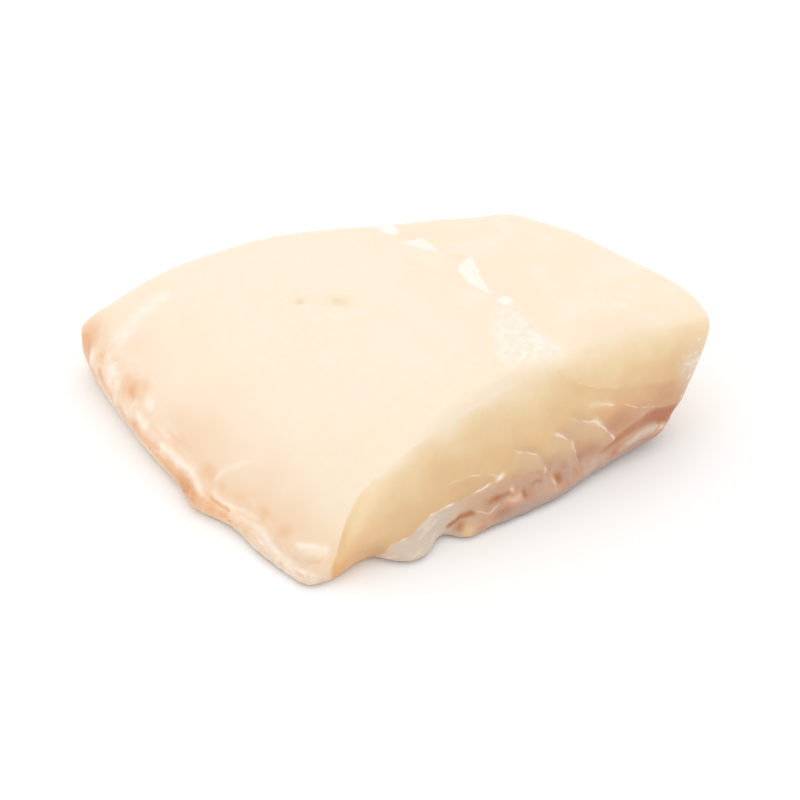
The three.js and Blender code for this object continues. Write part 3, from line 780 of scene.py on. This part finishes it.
        # A low lobe with the folds round it, and the gaps
        d, _, fade = self.line(face, FOLD_RIM, fade=0.2)
        self.height += FOLD_RIM_HEIGHT * cut * bell(d, 0.6) * fade
        lobe = self.on_cut(*LOW_LOBE)
        self.height += LOW_LOBE_HEIGHT * lobe
        self.tone = mix(self.tone, 0.60, lobe)
        self.film *= 1 - 0.8 * self.on_cut(*LOW_LOBE, width=1.1)
        d, _, fade = self.line(face, LOBE_SHINE, fade=0.3)
        self.tone -= 0.12 * cut * bell(d, 0.5) * fade
        # The dark folds and the gaps between the flakes: their darkness is in part painted shade, over
        # the flesh's own orange-brown
        for points, width, dark, deep in DARK_FOLDS:
            d, _, fade = self.line(face, points, fade=0.15)
            self.height -= deep * cut * bell(d, width) * fade
            self.raise_to("slot", dark * cut * bell(d, width) * fade)
            self.tissue *= 1 - cut * bell(d, width) * fade
        for *shape, dark in SLOTS:
            gap = dark * self.on_cut(*shape, width=1.1)
            self.height -= SLOT_DEPTH * dark * self.on_cut(*shape, width=0.95)
            self.raise_to("slot", gap)
            self.tissue *= 1 - gap
        self.raise_to("wet", 0.9 * cut * ease(-z, -8, -3))

    def glints(self):
        """Bright specks on the cut, in part pale tissue and in part painted highlights, and the thin
        pale lines that they sit on.
        """
        cut, face = self.cut, self.face
        speckle = 0.95 + 0.25 * noise(self.places, pitch=1.2, seed=16)
        low = ease(-self.z, -8, -6.5)
        for *shape, pale in GLINTS:
            self.raise_to("tissue", pale * speckle * self.on_cut(*shape))
            self.raise_to("amber", 0.45 * low * self.on_cut(*shape, width=1.5))
            self.film *= 1 - 0.7 * low * self.on_cut(*shape, width=1.3)
            self.slot *= 1 - self.on_cut(*shape, width=0.9)
            self.height += GLINT_HEIGHT * self.on_cut(*shape, width=1.1)

        # Signed distance to the nearest thin line, for the material, and how pale that line is
        nearest = np.full(len(self.places), 9.0)
        pale = np.zeros(len(self.places))
        for points, start, end in THREADS:
            d, side, along = measure(face, curve(points))
            closer = d < np.abs(nearest)
            nearest[closer] = (d * side)[closer]
            pale[closer] = (mix(start, end, along) * taper(along, 0.12))[closer]
        patchy = np.clip(0.6 + 1.2 * noise(self.places, pitch=2.2, seed=17), 0.12, 1.4)
        self.thread = 0.5 + nearest / (2 * THREAD_REACH)
        self.thread_pale = pale * patchy * bell(nearest, 1.2) * cut

    def cut_rim(self):
        """The crisp upper edge of the cut carries a thin light line."""
        rim = bell(self.cut - 0.3, 0.3) * (1 - ease(self.x, 0, 14)) * ease(self.x, -40, -37)
        self.height += CUT_RIM_HEIGHT * rim
        self.raise_to("tissue", 0.22 * rim)

    def loin_edge(self):
        """Painted highlights of moisture beads and wet sheen, and a little grain, along the thick edge.
        """
        edge = ease(self.normals[:, 0], 0.3, 0.7) * ease(self.x, 44, 49)
        edge *= (1 - ease(self.z, 27, 31)) * ease(self.z, 6, 9)
        wet_sheen = self.cut * ease(self.x, 47, 53) * bell(self.z - 20, 5)
        sheen_specks = ease(noise(self.places, pitch=(1.2, 2.0, 0.8), seed=27), 0.1, 0.5)
        grain = noise(self.places, pitch=(2.5, 5, 1.1), seed=14)
        grain += 0.4 * noise(self.places, pitch=1.0, seed=13)
        # A pale strip with specks along the cut's thick end: painted highlights of its wet edge
        self.raise_to("film", 0.50 * wet_sheen)
        self.raise_to("tissue", (0.19 + 0.26 * sheen_specks) * wet_sheen)
        self.height += LOIN_GRAIN_HEIGHT * edge * grain
        self.raise_to("tissue", 0.20 * edge * ease(grain, -0.1, 0.9))
        self.raise_to("pink", 0.15 * edge)
        for *shape, pale in BEAD_HIGHLIGHTS:
            self.raise_to("tissue", pale * self.on_cut(*shape))
        self.raise_to("wet", edge)

    def work(self):
        for part in (self.broad_tone, self.seam, self.fan, self.dents, self.fin_wash, self.fin_edge,
                     self.cut_flakes, self.stained_wedge, self.loose_film, self.foot, self.glints,
                     self.cut_rim, self.loin_edge):
            part()


def make_flesh():
    piece = bpy.data.objects.new("fillet_flesh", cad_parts[NODE].data.copy())
    bpy.context.scene.collection.objects.link(piece)
    remesh = piece.modifiers.new("remesh", "REMESH")
    remesh.mode = "VOXEL"
    remesh.voxel_size = VOXEL * MM
    evaluated(piece)
    mesh = smoothed(piece, SMOOTHING_ROUNDS)
    refine(mesh)
    mesh = smoothed(piece, REFINED_SMOOTHING_ROUNDS)
    places, normals = vertex_arrays(mesh)
    flesh = Flesh(places, normals)
    flesh.work()
    moved = places + normals * flesh.height[:, None]
    resting = places[:, 2] < RESTING_HEIGHT
    moved[resting] = places[resting]
    moved[:, 2] = np.maximum(moved[:, 2], 0)
    set_places(mesh, moved)
    for name in LAYERS:
        layer = mesh.attributes.new(name, "FLOAT", "POINT")
        layer.data.foreach_set("value", np.clip(getattr(flesh, name), 0, 1).astype(np.float32))
    mesh.shade_smooth()
    return piece


# Materials

# Noise scales of the flesh, in features to a metre, and how much each kind is drawn out along
# the fibres
CLOUD_SCALE = 90
FIBRE_SCALE = 420
GRAIN_SCALE = 1500
TORN_SCALE = 550
SHRED_SCALE = 330
FIBRE_STRETCH = (1.0, 0.16, 1.0)
SHRED_STRETCH = (1.0, 0.3, 1.0)
BUMP_HEIGHT = 0.6 * MM
LIGHT_REACH = 4 * MM  # how far light spreads inside the flesh

# How strong each kind of noise is in the colour
MOTTLING = 0.16
STREAKING = 0.10
TEARING = 3.2
CREST_SHARPNESS = 22
SHRED_STRENGTH = 0.7

# A thin line's half width, how much wider a pale one is, and how strongly it shows
THREAD_WIDTH = 0.14
PALE_THREAD_WIDTH = 0.45
THREAD_STRENGTH = 1.25

# Gloss
ROUGHNESS = 0.34
ROUGHNESS_SPREAD = 0.16
WET_SMOOTHNESS = 0.22


def shade(r, g, b):
    """A colour named by how it looks on screen in this light, taken back through the sRGB curve."""
    def linear(v):
        v /= 255
        return (v / 12.92 if v <= 0.04045 else ((v + 0.055) / 1.055) ** 2.4) / LIGHT
    return (linear(r), linear(g), linear(b), 1.0)


TONES = [
    (0.00, shade(251, 231, 208)),
    (0.20, shade(246, 228, 198)),
    (0.35, shade(240, 213, 170)),
    (0.50, shade(232, 197, 148)),
    (0.65, shade(224, 186, 138)),
    (0.80, shade(211, 167, 131)),
    (0.92, shade(200, 146, 112)),
    (1.00, shade(184, 118, 86)),
]
PINK = shade(251, 204, 163)
AMBER = shade(231, 164, 104)
# Pale tissue, and the colour of the painted highlights
PALE_TISSUE_AND_HIGHLIGHT = shade(255, 248, 240)
FILM = shade(214, 197, 179)
SLOT = shade(186, 116, 62)
SKIN = shade(171, 156, 143)
STAIN = shade(178, 100, 64)


class Tree:
    """Short ways to add and join shader nodes."""

    def __init__(self, material):
        material.use_nodes = True
        self.nodes = material.node_tree.nodes
        self.links = material.node_tree.links
        self.nodes.clear()

    def add(self, kind, inputs=(), **settings):
        node = self.nodes.new("ShaderNode" + kind)
        for key, value in settings.items():
            setattr(node, key, value)
        for key, value in dict(inputs).items():
            if isinstance(value, bpy.types.NodeSocket):
                self.links.new(value, node.inputs[key])
            else:
                node.inputs[key].default_value = value
        return node

    def field(self, name):
        return self.add("Attribute", attribute_name=name).outputs["Fac"]

    def math(self, operation, a, b, clamp=False):
        return self.add("Math", {0: a, 1: b}, operation=operation, use_clamp=clamp).outputs[0]

    def blend(self, share, a, b, mode="MIX"):
        node = self.add("Mix", data_type="RGBA", blend_type=mode)
        for index, value in ((0, share), (6, a), (7, b)):
            if isinstance(value, bpy.types.NodeSocket):
                self.links.new(value, node.inputs[index])
            else:
                node.inputs[index].default_value = value
        return node.outputs[2]

    def noise(self, coordinates, scale, detail, roughness=0.5):
        return self.add("TexNoise", {"Vector": coordinates, "Scale": scale, "Detail": detail,
                                     "Roughness": roughness}).outputs["Fac"]

    def ramp(self, value, stops):
        node = self.add("ValToRGB", {"Fac": value})
        elements = node.color_ramp.elements
        while len(elements) < len(stops):
            elements.new(0.5)
        for element, (position, colour) in zip(elements, stops):
            element.position = position
            element.color = colour
        return node.outputs["Color"]


def thread_share(tree):
    """Thin lines, sharp at any size: the stored distance crosses its middle value on the line."""
    pale = tree.field("thread_pale")
    gap = tree.math("ABSOLUTE", tree.math("SUBTRACT", tree.field("thread"), 0.5), 0)
    width = tree.math("ADD", THREAD_WIDTH, tree.math("MULTIPLY", pale, PALE_THREAD_WIDTH))
    share = tree.math("DIVIDE", tree.math("MULTIPLY", gap, 2 * THREAD_REACH), width)
    line = tree.math("SUBTRACT", 1.0, share, clamp=True)
    return tree.math("MULTIPLY", line, tree.math("MULTIPLY", pale, THREAD_STRENGTH), clamp=True)


def shred_share(tree, place):
    """Crisp shreds of membrane: the crests of a noise, where the fin edge has them."""
    stretched = tree.add("Mapping", {"Vector": place, "Scale": SHRED_STRETCH}).outputs[0]
    wave = tree.math("SUBTRACT", tree.noise(stretched, SHRED_SCALE, detail=4, roughness=0.6), 0.5)
    off_crest = tree.math("MULTIPLY", tree.math("ABSOLUTE", wave, 0), CREST_SHARPNESS)
    crest = tree.math("SUBTRACT", 1.0, off_crest, clamp=True)
    strength = tree.math("MULTIPLY", tree.field("shreds"), SHRED_STRENGTH)
    return tree.math("MULTIPLY", crest, strength, clamp=True)


def flesh_material():
    material = bpy.data.materials.new("moist_flesh")
    tree = Tree(material)
    place = tree.add("TexCoord").outputs["Object"]
    fibres = tree.add("Mapping", {"Vector": place, "Scale": FIBRE_STRETCH}).outputs[0]
    grain = tree.noise(fibres, FIBRE_SCALE, detail=3)
    cloud = tree.noise(place, CLOUD_SCALE, detail=4)
    fine = tree.noise(place, GRAIN_SCALE, detail=2)

    # Colour: tone with soft mottling, then the tissues over it
    mottle = tree.math("MULTIPLY", tree.math("SUBTRACT", cloud, 0.5), MOTTLING)
    streaks = tree.math("MULTIPLY", tree.math("SUBTRACT", grain, 0.5), STREAKING)
    tone = tree.math("ADD", tree.field("tone"), tree.math("ADD", mottle, streaks), clamp=True)
    colour = tree.ramp(tone, TONES)
    colour = tree.blend(tree.field("pink"), colour, PINK, "MULTIPLY")
    colour = tree.blend(tree.field("amber"), colour, AMBER)
    colour = tree.blend(tree.field("film"), colour, FILM)
    tissue = tree.math("MULTIPLY", tree.field("tissue"), tree.math("ADD", 0.6, cloud), clamp=True)
    border = tree.math("MULTIPLY", tissue, tree.math("SUBTRACT", 1.0, tissue))
    tear = tree.math("SUBTRACT", tree.noise(place, TORN_SCALE, detail=3), 0.5)
    torn = tree.math("MULTIPLY", tear, TEARING)
    patchy = tree.math("ADD", tissue, tree.math("MULTIPLY", border, torn), clamp=True)
    colour = tree.blend(patchy, colour, PALE_TISSUE_AND_HIGHLIGHT)
    colour = tree.blend(shred_share(tree, place), colour, PALE_TISSUE_AND_HIGHLIGHT)
    colour = tree.blend(tree.field("slot"), colour, SLOT)
    colour = tree.blend(tree.field("stain"), colour, STAIN)
    colour = tree.blend(tree.field("skin"), colour, SKIN)
    colour = tree.blend(thread_share(tree), colour, PALE_TISSUE_AND_HIGHLIGHT)

    # Gloss: satin flesh, glassier where it is wet
    rough = tree.math("ADD", ROUGHNESS, tree.math("MULTIPLY", cloud, ROUGHNESS_SPREAD))
    wet = tree.math("MULTIPLY", tree.field("wet"), WET_SMOOTHNESS)
    rough = tree.math("SUBTRACT", rough, wet)

    # Fine relief: streaks along the fibres, and grain
    relief = tree.math("ADD", tree.math("MULTIPLY", grain, 0.7), tree.math("MULTIPLY", fine, 0.3))
    bump = tree.add("Bump", {"Strength": 0.12, "Distance": BUMP_HEIGHT, "Height": relief})

    shader = tree.add("BsdfPrincipled", {
        "Base Color": colour, "Roughness": rough, "Normal": bump.outputs[0],
        "IOR": 1.38, "Subsurface Weight": 0.35, "Subsurface Scale": LIGHT_REACH,
        "Subsurface Radius": (1.0, 0.62, 0.38), "Coat Weight": 0.25, "Coat Roughness": 0.12,
    })
    tree.add("OutputMaterial", {"Surface": shader.outputs[0]})
    return material


def floor_material():
    material = bpy.data.materials.new("pale_floor")
    tree = Tree(material)
    shader = tree.add("BsdfPrincipled", {"Base Color": FLOOR_WHITE, "Roughness": 0.7,
                                         "Specular IOR Level": 0.2})
    tree.add("OutputMaterial", {"Surface": shader.outputs[0]})
    return material


# The scene

def make_floor():
    bpy.ops.mesh.primitive_plane_add(size=FLOOR_SIZE, location=(0, 0, 0))
    floor = bpy.context.object
    floor.name = "studio_floor"
    floor.data.materials.append(floor_material())


def aim(thing, place, target):
    thing.location = Vector(place)
    direction = Vector(target) - Vector(place)
    thing.rotation_euler = direction.to_track_quat("-Z", "Y").to_euler()


def make_key_light():
    light = bpy.data.lights.new("key", "AREA")
    light.shape = "DISK"
    light.size = KEY_SIZE
    light.energy = KEY_POWER
    lamp = bpy.data.objects.new("key", light)
    bpy.context.scene.collection.objects.link(lamp)
    aim(lamp, KEY_PLACE, KEY_AIM)


def make_white_world():
    world = bpy.data.worlds.new("soft_studio")
    bpy.context.scene.world = world
    world.use_nodes = True
    background = world.node_tree.nodes["Background"]
    background.inputs["Color"].default_value = (1, 1, 1, 1)
    background.inputs["Strength"].default_value = LIGHT


def make_camera():
    a, e = math.radians(CAMERA_AZIMUTH), math.radians(CAMERA_ELEVATION)
    back = Vector((math.sin(a) * math.cos(e), -math.cos(a) * math.cos(e), math.sin(e)))
    target = Vector(CAMERA_AIM) * MM
    data = bpy.data.cameras.new("camera")
    data.lens = CAMERA_LENS
    data.sensor_width = CAMERA_SENSOR
    data.clip_start = 0.01
    camera = bpy.data.objects.new("camera", data)
    bpy.context.scene.collection.objects.link(camera)
    aim(camera, target + back * CAMERA_DISTANCE * MM, target)
    bpy.context.scene.camera = camera


make_camera()
make_floor()
make_white_world()
make_key_light()
bpy.context.scene.view_settings.view_transform = "Standard"

flesh_piece = make_flesh()
flesh_piece.data.materials.clear()
flesh_piece.data.materials.append(flesh_material())
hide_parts(NODE)
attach(flesh_piece, "root")
